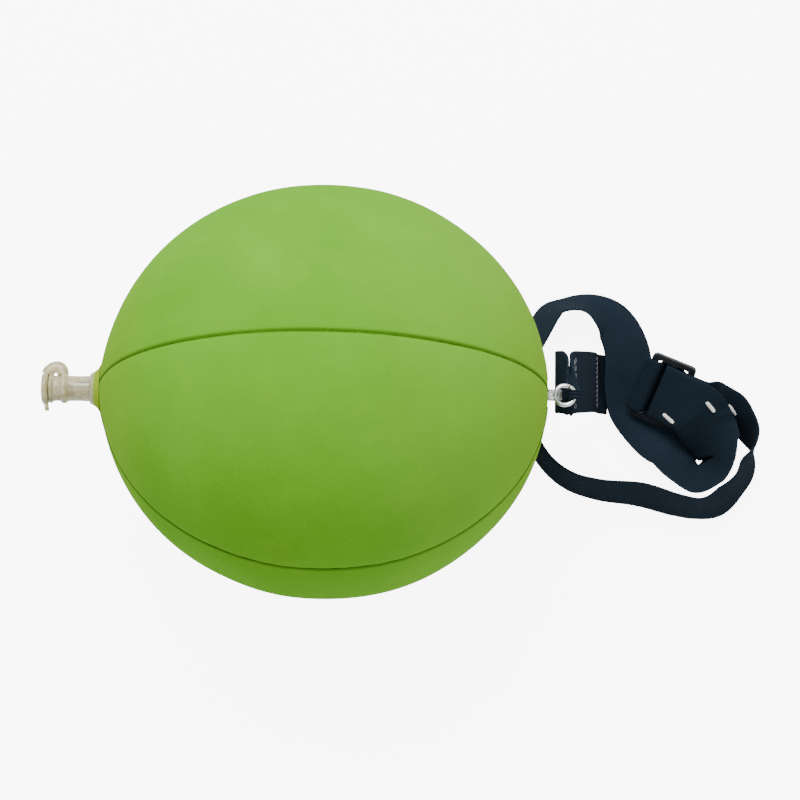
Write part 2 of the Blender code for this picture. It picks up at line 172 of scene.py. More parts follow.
# ------------------------------------------------------------------ materials
def flocked_material():
    """Short velour pile on vinyl: mottled green, lighter and paler towards the strap's side, yellower at
    the poles.

    The map across a gore darkens the skin beside each seam: painted shade in the seam's groove.
    """
    g = Graph("flocked_green")
    place = object_place(g)
    blotch = g.noise(place, 28.0, 5.0, 0.6)
    base = g.ramp(blotch, [(0.30, (0.094, 0.308, 0.012)), (0.52, (0.108, 0.340, 0.015)),
                           (0.75, (0.130, 0.378, 0.020))])
    rub = g.noise(place, 75.0, 6.0, 0.7)
    rubbed = g.times(g.ramp(rub, [(0.56, 0.0), (0.74, 1.0)]), 0.35)
    base = g.mix(rubbed, base, (0.150, 0.396, 0.012))
    soil = g.ramp(g.noise(place, 17.0, 3.0, 0.5), [(0.60, 0.0), (0.78, 1.0)])
    base = g.mix(g.times(soil, 0.28), base, (0.140, 0.275, 0.014))
    length = g.split(place)["X"]
    # Lighter and paler towards the strap's side of the ball.
    paler_to_strap = g.ramp(g.times(length, 1.0 / (100.0 * MM)), [(0.05, 0.0), (0.62, 1.0)])
    base = g.mix(g.times(paler_to_strap, 0.45), base, (0.190, 0.425, 0.040))
    reach = g.math("ABSOLUTE", length)
    pole = g.ramp(g.times(reach, 1.0 / (100.0 * MM)), [(0.62, 0.0), (0.86, 1.0)])
    base = g.mix(g.times(pole, 0.45), base, (0.225, 0.345, 0.012))
    grain = g.noise(place, 2600.0, 2.0, 0.6)
    base = g.mix(0.20, base, g.ramp(grain, [(0.25, (0.060, 0.200, 0.006)), (0.75, (0.165, 0.450, 0.026))]))
    from_seam = g.split(g.node("UVMap", uv_map="gore").outputs["UV"])["Y"]
    # Painted shade: the skin darkens where it turns into each seam's groove.
    painted_seam_shade = g.ramp(from_seam, [(0.0, 0.0), (0.008, 0.55), (0.022, 1.0)])
    base = g.mix(painted_seam_shade, (0.040, 0.105, 0.006), base)
    pile = g.bump(grain, 0.28, 0.00035)
    dents = g.bump(g.noise(place, 55.0, 4.0, 0.5), 0.12, 0.0020, pile)
    g.set(Base_Color=base, Roughness=0.95, Normal=dents, Sheen_Weight=0.03, Sheen_Roughness=0.5,
          Sheen_Tint=(0.62, 0.90, 0.22), Specular_IOR_Level=0.02)
    return g.mat


def weld_material():
    """Dark green welded vinyl at the bottom of the seams."""
    g = Graph("welded_seam")
    place = object_place(g)
    base = g.ramp(g.noise(place, 900.0, 3.0), [(0.3, (0.030, 0.100, 0.003)), (0.7, (0.062, 0.175, 0.006))])
    g.set(Base_Color=base, Roughness=0.9, Specular_IOR_Level=0.05,
          Normal=g.bump(g.noise(place, 1400.0, 2.0), 0.3, 0.0002))
    return g.mat


def vinyl_material(name, tint, clear, rough, aged=0.0, painted_fold_line=False, skinned=False):
    """Soft vinyl: cloudy patches, crumpled surface, yellowed with age.

    A painted fold line is painted shadow of a fold: a thin dark line along the tube. A skinned piece turns
    matt green where it meets the ball.
    """
    g = Graph(name)
    place = object_place(g)
    haze = g.noise(place, 160.0, 4.0, 0.6)
    base = g.mix(g.ramp(haze, [(0.35, 0.0), (0.72, 1.0)]), tint, tuple(min(1.0, c * 1.18) for c in tint))
    stain = g.ramp(g.noise(place, 330.0, 5.0, 0.7), [(0.44, 0.0), (0.66, 1.0)])
    base = g.mix(g.times(stain, aged), base, tuple(c * w for c, w in zip(tint, (0.62, 0.52, 0.36))))
    spread = g.math("ADD", g.times(haze, 0.20), rough)
    shine = 0.5
    if painted_fold_line:
        # Painted shadow of a fold: a thin dark line along part of the tube.
        x, y, z = g.split(place)
        angle = g.math("ARCTAN2", y, g.math("SUBTRACT", z, AXIS_Z))
        off = g.math("ABSOLUTE", g.math("SUBTRACT", angle, 0.34))
        line = g.ramp(off, [(0.03, 1.0), (0.10, 0.0)])
        along = g.times(g.math("ADD", x, 100.0 * MM), 1.0 / (20.0 * MM))
        painted_fold_shadow = g.times(line, g.ramp(along, [(0.10, 0.0), (0.30, 0.9), (0.70, 0.9)]))
        base = g.mix(painted_fold_shadow, base, (0.060, 0.058, 0.045))
    if skinned:
        reach = g.times(g.math("ADD", g.split(place)["X"], 92.0 * MM), 1.0 / (10.0 * MM))
        near = g.ramp(reach, [(0.22, 0.0), (0.36, 1.0)])
        away = g.math("SUBTRACT", 1.0, near)
        base = g.mix(near, base, (0.235, 0.360, 0.022))
        clear = g.times(away, clear)
        spread = g.math("MAXIMUM", spread, near)
        shine = g.times(away, 0.5)
    crumple = g.bump(g.noise(place, 260.0, 4.0, 0.6), 0.45 * aged, 0.0012)
    scuffs = g.bump(g.noise(place, 620.0, 5.0, 0.65), 0.25, 0.0003, crumple)
    g.set(Base_Color=base, Roughness=spread, Normal=scuffs, IOR=1.48, Transmission_Weight=clear,
          Specular_IOR_Level=shine, Subsurface_Weight=0.25, Subsurface_Scale=0.6,
          Subsurface_Radius=Vector((0.003, 0.0026, 0.002)))
    return g.mat


def metal_material():
    """Bright wire with faint wear."""
    g = Graph("bright_ring")
    place = object_place(g)
    wear = g.noise(place, 900.0, 4.0, 0.6)
    base = g.ramp(wear, [(0.3, (0.62, 0.63, 0.64)), (0.7, (0.86, 0.86, 0.85))])
    g.set(Base_Color=base, Metallic=1.0, Roughness=g.math("ADD", g.times(wear, 0.18), 0.12),
          Normal=g.bump(g.noise(place, 2200.0, 3.0), 0.12, 0.0001))
    return g.mat


def webbing_material():
    """Navy-black woven webbing: two-way ribs from the strap's own lengthwise and crosswise measure."""
    rib_width, rib_length = 0.9 * MM, 1.1 * MM
    g = Graph("black_webbing")
    along, across, _ = g.split(g.node("UVMap", uv_map="weave").outputs["UV"])
    row = g.math("FLOOR", g.times(across, 1.0 / rib_width))
    stagger = g.times(g.math("MODULO", row, 2.0), math.pi)
    weft = g.math("SINE", g.math("ADD", g.times(along, FULL_TURN / rib_length), stagger))
    warp = g.math("ABSOLUTE", g.math("SINE", g.times(across, math.pi / rib_width)))
    rib = g.times(g.math("ADD", g.times(weft, 0.5), 0.5), warp)
    place = object_place(g)
    fuzz = g.noise(place, 1500.0, 3.0, 0.7)
    base = g.ramp(rib, [(0.0, (0.0074, 0.0128, 0.0200)), (1.0, (0.0132, 0.0218, 0.0335))])
    faded = g.ramp(g.noise(place, 45.0, 4.0, 0.6), [(0.35, 0.0), (0.75, 1.0)])
    base = g.mix(g.times(faded, 0.40), base, (0.0168, 0.0256, 0.0390))
    lint = g.ramp(g.noise(place, 3800.0, 1.0, 0.5), [(0.72, 0.0), (0.80, 1.0)])
    base = g.mix(g.times(lint, 0.25), base, (0.045, 0.055, 0.068))
    weave = g.bump(rib, 0.35, 0.00025)
    soft = g.bump(g.noise(place, 90.0, 3.0, 0.5), 0.20, 0.0015, weave)
    g.set(Base_Color=base, Roughness=0.95, Normal=g.bump(fuzz, 0.22, 0.0002, soft), Specular_IOR_Level=0.02)
    return g.mat


def plastic_material():
    """Moulded black plastic with slightly uneven gloss."""
    g = Graph("adjuster_plastic")
    place = object_place(g)
    wear = g.noise(place, 260.0, 5.0, 0.65)
    base = g.ramp(wear, [(0.35, (0.003, 0.004, 0.006)), (0.75, (0.008, 0.010, 0.014))])
    g.set(Base_Color=base, Roughness=g.math("ADD", g.times(wear, 0.25), 0.28),
          Normal=g.bump(g.noise(place, 1800.0, 3.0), 0.12, 0.00015), Specular_IOR_Level=0.22)
    return g.mat


def thread_material(name, dark, light):
    """Twisted thread: strands run aslant along the stitch."""
    g = Graph(name)
    along, around, _ = g.split(g.node("UVMap", uv_map="weave").outputs["UV"])
    slope = g.math("ADD", g.times(along, FULL_TURN / (0.55 * MM)), g.times(around, FULL_TURN / (0.9 * MM)))
    strand = g.math("ADD", g.times(g.math("SINE", slope), 0.5), 0.5)
    g.set(Base_Color=g.ramp(strand, [(0.0, dark), (1.0, light)]), Roughness=0.62,
          Normal=g.bump(strand, 0.5, 0.00015), Sheen_Weight=0.2)
    return g.mat


FLOCK = flocked_material()
WELD = weld_material()
VINYL = vinyl_material("aged_vinyl", (0.68, 0.61, 0.37), 0.36, 0.16, 1.0)
VINYL_TUBE = vinyl_material("aged_vinyl_tube", (0.69, 0.64, 0.42), 0.44, 0.14, 0.85, painted_fold_line=True)
VINYL_BASE = vinyl_material("base_vinyl", (0.64, 0.62, 0.40), 0.45, 0.14, 0.60, skinned=True)
CLEAR = vinyl_material("loop_vinyl", (0.90, 0.92, 0.90), 0.92, 0.02)
METAL = metal_material()
WEBBING = webbing_material()
PLASTIC = plastic_material()
WHITE_THREAD = thread_material("white_thread", (0.82, 0.82, 0.80), (0.97, 0.97, 0.96))
GREY_THREAD = thread_material("grey_thread", (0.055, 0.062, 0.078), (0.19, 0.205, 0.235))


# ------------------------------------------------------------------ mesh helpers
def add_piece(name, bm, mat, body, slot, *nodes):
    """Turn the mesh into a smooth object that rides a body and takes the place of CAD nodes."""
    bmesh.ops.recalc_face_normals(bm, faces=bm.faces)
    mesh = bpy.data.meshes.new(name)
    bm.to_mesh(mesh)
    bm.free()
    mesh.materials.append(mat)
    mesh.polygons.foreach_set("use_smooth", [True] * len(mesh.polygons))
    obj = bpy.data.objects.new(name, mesh)
    bpy.context.scene.collection.objects.link(obj)
    if body:
        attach(obj, body)
    if nodes:
        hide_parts(*nodes)
    return obj


def sweep(bm, stations, section):
    """Sweep a closed section of (side, up, measure) along stations of (centre, side, up).

    The section is one outline, or a function that gives station i its own.
    """
    layer = bm.loops.layers.uv.get("weave") or bm.loops.layers.uv.new("weave")
    rings = []
    lengths = [0.0]
    for i, (centre, side, up) in enumerate(stations):
        outline = section(i) if callable(section) else section
        rings.append([bm.verts.new(centre + side * s + up * u) for s, u, m in outline])
        if i:
            lengths.append(lengths[-1] + (centre - stations[i - 1][0]).length)
    measures = [m for s, u, m in outline]
    count = len(measures)
    for i in range(len(rings) - 1):
        for k in range(count):
            n = (k + 1) % count
            face = bm.faces.new((rings[i][k], rings[i][n], rings[i + 1][n], rings[i + 1][k]))
            corners = ((lengths[i], measures[k]), (lengths[i], measures[n]),
                       (lengths[i + 1], measures[n]), (lengths[i + 1], measures[k]))
            for loop, corner in zip(face.loops, corners):
                loop[layer].uv = corner
    bm.faces.new(rings[0])
    bm.faces.new(list(reversed(rings[-1])))


def round_section(radius, count=12):
    turns = [k * (FULL_TURN / count) for k in range(count)]
    return [(radius * math.cos(turn), radius * math.sin(turn), radius * turn) for turn in turns]


def band_section(width, thickness, columns=14):
    """Flat band with rounded edges; the measure is the place across the width on both faces."""
    half, t = width / 2, thickness / 2
    flat = half - t
    top = [(-flat + 2 * flat * k / columns, t) for k in range(columns + 1)]
    right = [(flat + t * math.sin(a), t * math.cos(a)) for a in (math.pi / 4, math.pi / 2, 3 * math.pi / 4)]
    bottom = [(x, -t) for x, _ in reversed(top)]
    left = [(-x, -y) for x, y in right]
    return [(x, y, x + half) for x, y in top + right + bottom + left]


def path_frames(points, up_hint):
    """Stations along a path, with the up direction kept close to the hint."""
    out = []
    for i, point in enumerate(points):
        ahead = points[min(i + 1, len(points) - 1)] - points[max(i - 1, 0)]
        ahead.normalize()
        side = ahead.cross(up_hint).normalized()
        out.append((point, side, side.cross(ahead).normalized()))
    return out


def spline(points, step):
    """Centripetal Catmull-Rom through equal-length tuples, the first three numbers a position."""
    pts = [Vector(p) for p in points]
    pts = [pts[0] * 2.0 - pts[1]] + pts + [pts[-1] * 2.0 - pts[-2]]
    out = []
    for i in range(1, len(pts) - 2):
        p0, p1, p2, p3 = pts[i - 1:i + 3]
        t1 = max(1e-6, (p1 - p0).length) ** 0.5
        t2 = t1 + max(1e-6, (p2 - p1).length) ** 0.5
        t3 = t2 + max(1e-6, (p3 - p2).length) ** 0.5
        count = max(1, round((p2 - p1).length / step))
        for k in range(count):
            t = t1 + (t2 - t1) * k / count
            a1 = p0.lerp(p1, t / t1)
            a2 = p1.lerp(p2, (t - t1) / (t2 - t1))
            a3 = p2.lerp(p3, (t - t2) / (t3 - t2))
            b1 = a1.lerp(a2, t / t2)
            b2 = a2.lerp(a3, (t - t1) / (t3 - t1))
            out.append(b1.lerp(b2, (t - t1) / (t2 - t1)))
    out.append(pts[-2])
    return out


def lathe(bm, profile, steps=64):
    """Spin a closed (x, r) outline about the ball's pole axis."""
    verts = [bm.verts.new((x, 0.0, AXIS_Z + r)) for x, r in profile]
    pairs = list(zip(verts, verts[1:]))
    if profile[0][1] > 0.0 or profile[-1][1] > 0.0:
        pairs.append((verts[-1], verts[0]))
    edges = [bm.edges.new(pair) for pair in pairs]
    bmesh.ops.spin(bm, geom=verts + edges, cent=(0.0, 0.0, AXIS_Z), axis=ALONG_AXIS,
                   angle=FULL_TURN, steps=steps)
    bmesh.ops.remove_doubles(bm, verts=bm.verts, dist=1e-7)


# ------------------------------------------------------------------ the ball's skin
def skin_x(side, r):
    """Place along the axis of the skin at radius r: side -1 is the valve's, 1 the ring's."""
    x = HALF_LENGTH * math.sqrt(1.0 - (r / RADIUS) ** 2)
    if side < 0:
        x += CONE_RISE * math.exp(-(r / CONE_SPREAD) ** 2)
    return side * x


def skin_section(u):
    """(x, r) of the skin, with u from 0 at the valve's hole to 1 at the hanging loop's."""
    start = math.asin(VALVE_HOLE_R / RADIUS)
    end = math.pi - math.asin(LOOP_HOLE_R / RADIUS)
    angle = start + (end - start) * u
    r = RADIUS * math.sin(angle)
    return skin_x(-1 if angle < math.pi / 2 else 1, r), r


def seam_roll(edge, r):
    """How far the skin dips where it turns in to the weld."""
    fade = min(1.0, r / POLE_FADE)
    groove = 0.85 * MM * math.exp(-(edge / (0.55 * MM)) ** 1.6)
    shoulder = 0.45 * MM * math.exp(-(edge / (4.5 * MM)) ** 2)
    return (groove + shoulder) * fade


def skin_ripple(x, angle, edge):
    """Small puckers beside the weld, and slow unevenness of the inflated vinyl."""
    place = Vector((x / (9.0 * MM), angle * 3.0, 4.0))
    pucker = 0.22 * MM * noise.noise(place * 2.2) * math.exp(-edge / (5.0 * MM))
    swell = 0.35 * MM * noise.noise(place * 0.35)
    return pucker + swell


def gore_skin(index):
    """One panel between two seams, closer columns beside the seams and flat where it rests."""
    rows, columns = 120, 52
    first = FIRST_SEAM + index * FULL_TURN / GORES
    bm = bmesh.new()
    layer = bm.loops.layers.uv.new("gore")
    edges = {}
    grid = []
    for i in range(rows + 1):
        x, r = skin_section(i / rows)
        line = []
        for j in range(columns + 1):
            v = j / columns
            across = 0.5 - 0.5 * math.cos(math.pi * v) if 0.0 < v < 1.0 else v
            trim = 0.06 * MM / r
            angle = first + trim + (GORE_ANGLE - 2.0 * trim) * across
            edge = min(across, 1.0 - across) * GORE_ANGLE * r
            reach = r - seam_roll(edge, r) + skin_ripple(x, angle, edge) * min(1.0, r / (30.0 * MM))
            z = AXIS_Z + reach * math.cos(angle)
            vert = bm.verts.new((x, reach * math.sin(angle), max(0.0, z)))
            edges[vert] = edge
            line.append(vert)
        grid.append(line)
    for i in range(rows):
        for j in range(columns):
            face = bm.faces.new((grid[i][j], grid[i + 1][j], grid[i + 1][j + 1], grid[i][j + 1]))
            for loop in face.loops:
                loop[layer].uv = (loop.vert.co.x, edges[loop.vert] / (50.0 * MM))
    obj = add_piece("skin_gore_%d" % (index + 1), bm, FLOCK, None, "flocked_skin")
    middle_face = obj.data.polygons[len(obj.data.polygons) // 2]
    if middle_face.normal.dot(middle_face.center - UP * AXIS_Z) < 0.0:
        obj.data.flip_normals()
    mod = obj.modifiers.new("Vinyl", "SOLIDIFY")
    mod.thickness = SKIN
    mod.offset = -1.0
    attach(obj, "ball")
    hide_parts("gore_panel_%d" % (index + 1))


def seam_weld(index):
    """Thin bead of welded vinyl at the bottom of each seam's groove."""
    angle = FIRST_SEAM + index * FULL_TURN / GORES
    steps = 90
    points = []
    for k in range(steps + 1):
        x, r = skin_section(0.006 + 0.988 * k / steps)
        reach = r - 1.15 * MM * min(1.0, r / POLE_FADE) - 0.1 * MM
        z = max(0.5 * MM, AXIS_Z + reach * math.cos(angle))
        points.append(Vector((x, reach * math.sin(angle), z)))
    bm = bmesh.new()
    out = Vector((0.0, math.sin(angle), math.cos(angle)))
    sweep(bm, path_frames(points, out), round_section(0.36 * MM, 8))
    add_piece("seam_weld_%d" % (index + 1), bm, WELD, "ball", "flocked_skin")


# ------------------------------------------------------------------ valve
def lathe_mm(outline):
    """New mesh spun from an outline in millimetres."""
    bm = bmesh.new()
    lathe(bm, [(x * MM, r * MM) for x, r in outline])
    return bm


def valve_base():
    """Disc under the skin, and the flared neck that comes out through its hole."""
    bore_r = 5.25
    radii = (14.0, 12.5, 11.0, 9.5, 8.0)
    face = [(skin_x(-1, r * MM) + SKIN + 0.4 * MM, r * MM) for r in radii]
    back = [(x + 0.8 * MM, r) for x, r in reversed(face)]
    flare = [(-85.9, 6.9), (-86.75, 7.0), (-86.35, 9.8), (-86.9, 8.8), (-87.6, 7.7), (-88.6, 6.85),
             (-89.6, 6.3), (-90.3, 5.95), (-90.55, 5.65), (-90.4, bore_r)]
    outline = face + [(x * MM, r * MM) for x, r in flare] + [(back[0][0], bore_r * MM)] + back
    bm = bmesh.new()
    lathe(bm, outline)
    add_piece("valve_base_cone", bm, VINYL_BASE, "ball", "clear_vinyl", "valve_base")


def valve_stem():
    """Tube with a rounded lip and a collar, and a mould line along its top and bottom."""
    bore_r = 3.45
    out, inner = STEM_OUT_X / MM, STEM_IN_X / MM
    lip = [(0.0, bore_r), (0.0, 4.2), (0.05, 5.3), (0.3, 5.7), (0.7, 5.8), (1.1, 5.6), (1.35, 5.1)]
    collar = [(2.2, 4.9), (4.2, 4.9), (4.6, 5.2), (4.8, 5.65), (5.6, 5.8), (6.5, 5.65), (6.9, 5.2)]
    tube = [(7.6, 4.85), (12.0, 4.8), (15.0, 4.95)]
    bm = lathe_mm([(out + x, r) for x, r in lip + collar + tube] + [(inner, 4.95), (inner, bore_r)])
    for side in (-1.0, 1.0):
        z = AXIS_Z + side * 4.85 * MM
        ridge = [Vector((STEM_OUT_X + x * MM, 0.0, z)) for x in (8.0, 10.0, 13.0, 15.6)]
        sweep(bm, path_frames(ridge, ACROSS), round_section(0.28 * MM, 8))
    add_piece("valve_tube", bm, VINYL_TUBE, "valve", "clear_vinyl", "valve_stem")


def valve_stopper():
    """Rounded cap with a plug that fits the tube, and a short pull tab on its rim."""
    face = (STEM_OUT_X / MM) - 0.25
    cap = [(-2.75, 0.0), (-2.75, 2.0), (-2.55, 2.6), (-2.6, 4.6), (-2.45, 5.6), (-2.0, 6.2), (-1.2, 6.4),
           (-0.5, 6.25), (-0.1, 5.8), (0.0, 5.0)]
    plug = [(0.0, 3.1), (0.6, 3.05), (2.6, 2.7), (3.5, 2.35), (3.85, 1.6), (3.9, 0.0)]
    bm = lathe_mm([(face + x, r) for x, r in cap + plug])
    tab = [Vector((STEM_OUT_X + (-1.2 + 0.12 * k) * MM, -(5.6 + 0.75 * k) * MM, AXIS_Z)) for k in range(5)]
    oval = [(s * 0.8, u * 2.0, m) for s, u, m in round_section(1.1 * MM, 12)]
    sweep(bm, path_frames(tab, UP), oval)
    add_piece("valve_plug", bm, VINYL, "stopper", "clear_vinyl", "valve_stopper")


def valve_tether():
    """Soft strip from the stem's collar to the stopper."""
    path = [(-101.4, 5.2), (-101.5, 6.3), (-101.9, 7.4), (-103.0, 8.2), (-104.3, 8.3), (-105.7, 7.7),
            (-106.9, 6.6), (-107.6, 5.4)]
    points = spline([(x * MM, y * MM, AXIS_Z) for x, y in path], 0.35 * MM)
    band = [(u, s, m) for s, u, m in band_section(3.8 * MM, 4.5 * MM, 6)]
    bm = bmesh.new()
    sweep(bm, path_frames(points, UP), band)
    obj = add_piece("valve_tether_strip", bm, VINYL, None, "clear_vinyl", "valve_tether")
    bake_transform(obj)


def valve_flap():
    """Thin disc with a rounded rim, slightly domed towards the inside of the ball."""
    low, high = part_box("valve_flap")
    front, back = low[0], high[0]
    outline = [(front, 0.0), (front, 4.2 * MM), (front + 0.1 * MM, 4.45 * MM), (back - 0.1 * MM, 4.5 * MM),
               (back, 4.3 * MM), (back + 0.25 * MM, 0.0)]
    bm = bmesh.new()
    lathe(bm, outline, 40)
    add_piece("check_flap", bm, VINYL, "flap", "clear_vinyl", "valve_flap")


# ------------------------------------------------------------------ hanging loop and ring
def hang_patch():
    """Disc inside the skin that carries the hanging loop."""
    radii = (0.0, 1.5, 3.0, 5.0, 7.0, 9.0, 11.0, 11.7, 12.0)
    face = [(skin_x(1, r * MM) - SKIN - 0.45 * MM, r * MM) for r in radii]
    back = [(x - 0.8 * MM, r) for x, r in reversed(face)]
    bm = bmesh.new()
    lathe(bm, face + back, 48)
    add_piece("loop_patch", bm, CLEAR, "ball", "clear_vinyl", "hang_patch")


def hang_loop():
    """Clear strip that leaves the skin, passes round the ring's wire and comes back, with thick rims."""
    centre = Vector((RING_X - RING_R, 0.0, AXIS_Z))
    loop_r = 2.4 * MM
    start_x = skin_x(1, 0.0) - SKIN - 0.5 * MM

    def leg(side):
        return [Vector((start_x, 0.0, AXIS_Z + side * 1.9 * MM)),
                Vector((start_x + 1.2 * MM, 0.0, AXIS_Z + side * 2.15 * MM)),
                centre + Vector((-1.4 * MM, 0.0, side * loop_r))]

    bend_steps = 24
    angles = [math.radians(90.0 - 180.0 * k / bend_steps) for k in range(bend_steps + 1)]
    bend = [centre + Vector((loop_r * math.cos(a), 0.0, loop_r * math.sin(a))) for a in angles]
    points = leg(1.0) + bend + leg(-1.0)[::-1]
    bm = bmesh.new()
    band = [(u, s, m) for s, u, m in band_section(3.4 * MM, 0.6 * MM, 8)]
    sweep(bm, path_frames(points, ACROSS), band)
    for side in (-1.0, 1.0):
        rim = [p + ACROSS * (side * 1.5 * MM) for p in points]
        sweep(bm, path_frames(rim, ACROSS), round_section(0.36 * MM, 8))
    add_piece("loop_strip", bm, CLEAR, "ball", "clear_vinyl", "hang_loop")


def metal_ring():
    """Ring of round wire whose two ends leave a fine slit."""
    slit_at, slit_angle, steps = 62.0, 4.0, 96
    points = []
    for k in range(steps + 1):
        angle = math.radians(slit_at + (360.0 - slit_angle) * k / steps)
        points.append(Vector((RING_X + RING_R * math.cos(angle), RING_R * math.sin(angle), AXIS_Z)))
    bm = bmesh.new()
    sweep(bm, path_frames(points, UP), round_section(RING_WIRE, 20))
    add_piece("wire_ring", bm, METAL, "ring", "ring_metal", "metal_ring")


# ------------------------------------------------------------------ webbing
def tab_rows():
    """(x, y, z, width) along the tab: up its inner leg, round the ring's wire and down its outer leg."""
    turn_r = 2.3 * MM
    inner = [(90.2, 8.1, 63.0, 25.0), (91.4, 7.6, 66.0, 25.0), (92.8, 7.0, 68.5, 25.0),
             (94.0, 5.6, 70.6, 24.0), (94.4, 3.7, 72.8, 18.0), (94.3, 1.2, 75.5, 5.0)]
    outer = [(97.7, 1.2, 75.8, 5.0), (95.9, 3.7, 72.4, 18.0), (95.6, 5.9, 69.4, 25.0),
             (96.9, 7.8, 64.5, 25.0), (99.8, 9.4, 57.0, 25.0), (102.6, 11.1, 48.0, 25.0),
             (105.4, 13.1, 37.5, 25.0), (107.7, 14.8, 28.0, 25.0), (109.0, 16.0, 20.5, 25.0),
             (109.7, 16.8, 15.2, 25.0), (110.8, 17.3, 10.2, 25.0), (114.4, 17.7, 6.1, 25.0)]
    rows = [(x * MM, y * MM, z * MM, w * MM) for x, y, z, w in inner]
    for k in range(7):
        angle = math.radians(180.0 - 30.0 * k)
        x, z = RING_X + RING_R + turn_r * math.cos(angle), AXIS_Z + turn_r * math.sin(angle)
        rows.append((x, 0.0, z, 3.4 * MM))
    rows += [(x * MM, y * MM, z * MM, w * MM) for x, y, z, w in outer]
    return spline(rows, TAB_STEP)


def tab_section(width):
    """The band's section where it is gathered: narrower, so it pleats."""
    gather = 1.0 - width / WEB_W
    outline = []
    for s, u, m in band_section(WEB_W, 1.15 * MM, 28):
        t = s / (WEB_W / 2)
        pleat = math.sin(t * 9.0) * min(1.0, gather * 1.6) * min(1.0, width / (9.0 * MM)) * 0.75 * MM
        outline.append((s * width / WEB_W, u * (1.0 - 0.15 * gather) + pleat, m))
    return outline


def strap_tab():
    """Webbing folded through the ring, gathered where it turns round the wire."""
    rows = tab_rows()
    points = [Vector(row[:3]) for row in rows]
    stations = []
    for i, point in enumerate(points):
        ahead = (points[min(i + 1, len(points) - 1)] - points[max(i - 1, 0)]).normalized()
        stations.append((point, ACROSS, ahead.cross(ACROSS).normalized()))
    bm = bmesh.new()
    sweep(bm, stations, lambda i: tab_section(rows[i][3]))
    obj = add_piece("tab_webbing", bm, WEBBING, None, "black_webbing", "strap_tab")
    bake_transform(obj)


def glide_frame():
    """The adjuster's own directions: along the strap, across it and out of its face."""
    along = Vector((math.cos(GLIDE_HEADING), math.sin(GLIDE_HEADING), 0.0))
    right = Vector((along.y, -along.x, 0.0))
    across = right * math.sin(GLIDE_LEAN) + UP * math.cos(GLIDE_LEAN)
    out = right * math.cos(GLIDE_LEAN) - UP * math.sin(GLIDE_LEAN)
    return along, across, out


def threaded(points):
    """Controls given as (along, out) in the adjuster's frame, in millimetres."""
    along, across, out = glide_frame()
    return [(GLIDE_AT + along * (a * MM) + out * (n * MM), across) for a, n in points]


# Rows of the two threaded stretches are (along, out); rows on the ground are (x, y, lean, lift).
# A positive lean, in degrees, tips the strap's top edge to the left of its travel.
ANCHOR_HOOK = [(-0.6, 1.75), (0.6, 1.8), (1.8, 1.6), (2.05, 0.4), (2.05, -0.4), (1.8, -1.6), (0.4, -1.8),
               (-1.2, -1.85), (-3.2, -2.15), (-6.5, -3.2), (-10.5, -3.9)]

INNER_RUN = [(150.0, 4.9, 56, 14.4), (153.3, 0.6, 60, 11.6), (156.2, -3.6, 57, 7.8), (158.8, -8.0, 47, 4.5),
             (160.0, -13.3, 26, 2.0), (157.2, -18.9, 28, 0.4), (151.2, -21.8, 36, 0), (144.8, -17.3, 42, 0),
             (140.9, -11.2, 54, 0), (136.1, -5.3, 63, 0), (130.6, 1.6, 67, 0), (125.8, 8.6, 66, 0),
             (124.0, 16.9, 61, 0), (123.9, 25.6, 57, 0), (122.4, 34.4, 55, 0), (117.9, 43.2, 51, 0),
             (110.9, 48.8, 38, 0)]

OUTER_RUN = [(104.5, 50.9, 28, 0), (98.0, 50.4, 23, 0), (91.5, 47.9, 25, 0), (85.4, 37.3, 24, 0),
             (80.8, 24.0, 16, 0), (79.6, 8.7, 7, 0), (82.9, -5.0, 6, 0), (89.5, -16.3, 6, 0),
             (98.8, -23.6, 8, 0), (111.1, -27.2, 11, 0), (127.8, -28.9, 14, 0), (143.4, -33.2, 12, 0),
             (152.0, -34.3, 12, 0), (160.6, -31.3, 21, 0), (168.5, -24.0, 17, 0), (172.2, -16.6, 19, 0),
             (174.2, -10.0, 6, 0), (172.8, -4.5, -8, 0.5), (169.6, 0.9, -18, 2.0), (164.6, 5.0, -34, 4.0),
             (157.4, 7.0, -46, 6.6)]

ADJUSTER_WEAVE = [(-15.0, -1.75), (-10.0, -1.75), (-7.2, -1.8), (-5.6, -1.55), (-4.4, 0.0), (-2.9, 2.0),
                  (-1.4, 2.95), (0.2, 3.15), (2.0, 3.1), (3.5, 2.1), (4.6, 0.0), (5.6, -1.55), (7.2, -1.8),
                  (9.5, -1.75), (12.0, -1.75)]


def grounded(points):
    return [((x * MM, y * MM), math.radians(lean), lift * MM) for x, y, lean, lift in points]


def strap_rows():
    """Controls of the whole loop as (position, across direction), on the CAD solid's route."""
    controls = threaded(ANCHOR_HOOK) + grounded(INNER_RUN + OUTER_RUN) + threaded(ADJUSTER_WEAVE)
    flat = [c[0] if len(c) == 3 else (c[0].x, c[0].y) for c in controls]
    rows = []
    for i, control in enumerate(controls):
        if len(control) == 2:
            rows.append((*control[0], *control[1]))
            continue
        (x, y), lean, lift = control
        heading = (Vector(flat[min(i + 1, len(flat) - 1)]) - Vector(flat[i - 1])).normalized()
        left = Vector((-heading.y, heading.x, 0.0))
        across = left * math.sin(lean) + UP * math.cos(lean)
        z = WEB_W / 2 * math.cos(lean) + WEB_T / 2 * abs(math.sin(lean)) + GROUND_GAP + lift
        rows.append((x, y, z, *across))
    return rows


def strap_frames():
    """(centre, across, normal) along the loop, finely smoothed."""
    turn_weight = 4.0 * MM
    scaled = [(*row[:3], *(v * turn_weight for v in row[3:])) for row in strap_rows()]
    rows = spline(scaled, STRAP_STEP)
    centres = [Vector(tuple(row)[:3]) for row in rows]
    out = []
    for i, row in enumerate(rows):
        across = Vector(tuple(row)[3:]).normalized()
        ahead = (centres[min(i + 1, len(centres) - 1)] - centres[max(i - 1, 0)]).normalized()
        normal = ahead.cross(across).normalized()
        out.append((centres[i], normal.cross(ahead).normalized(), normal))
    return out


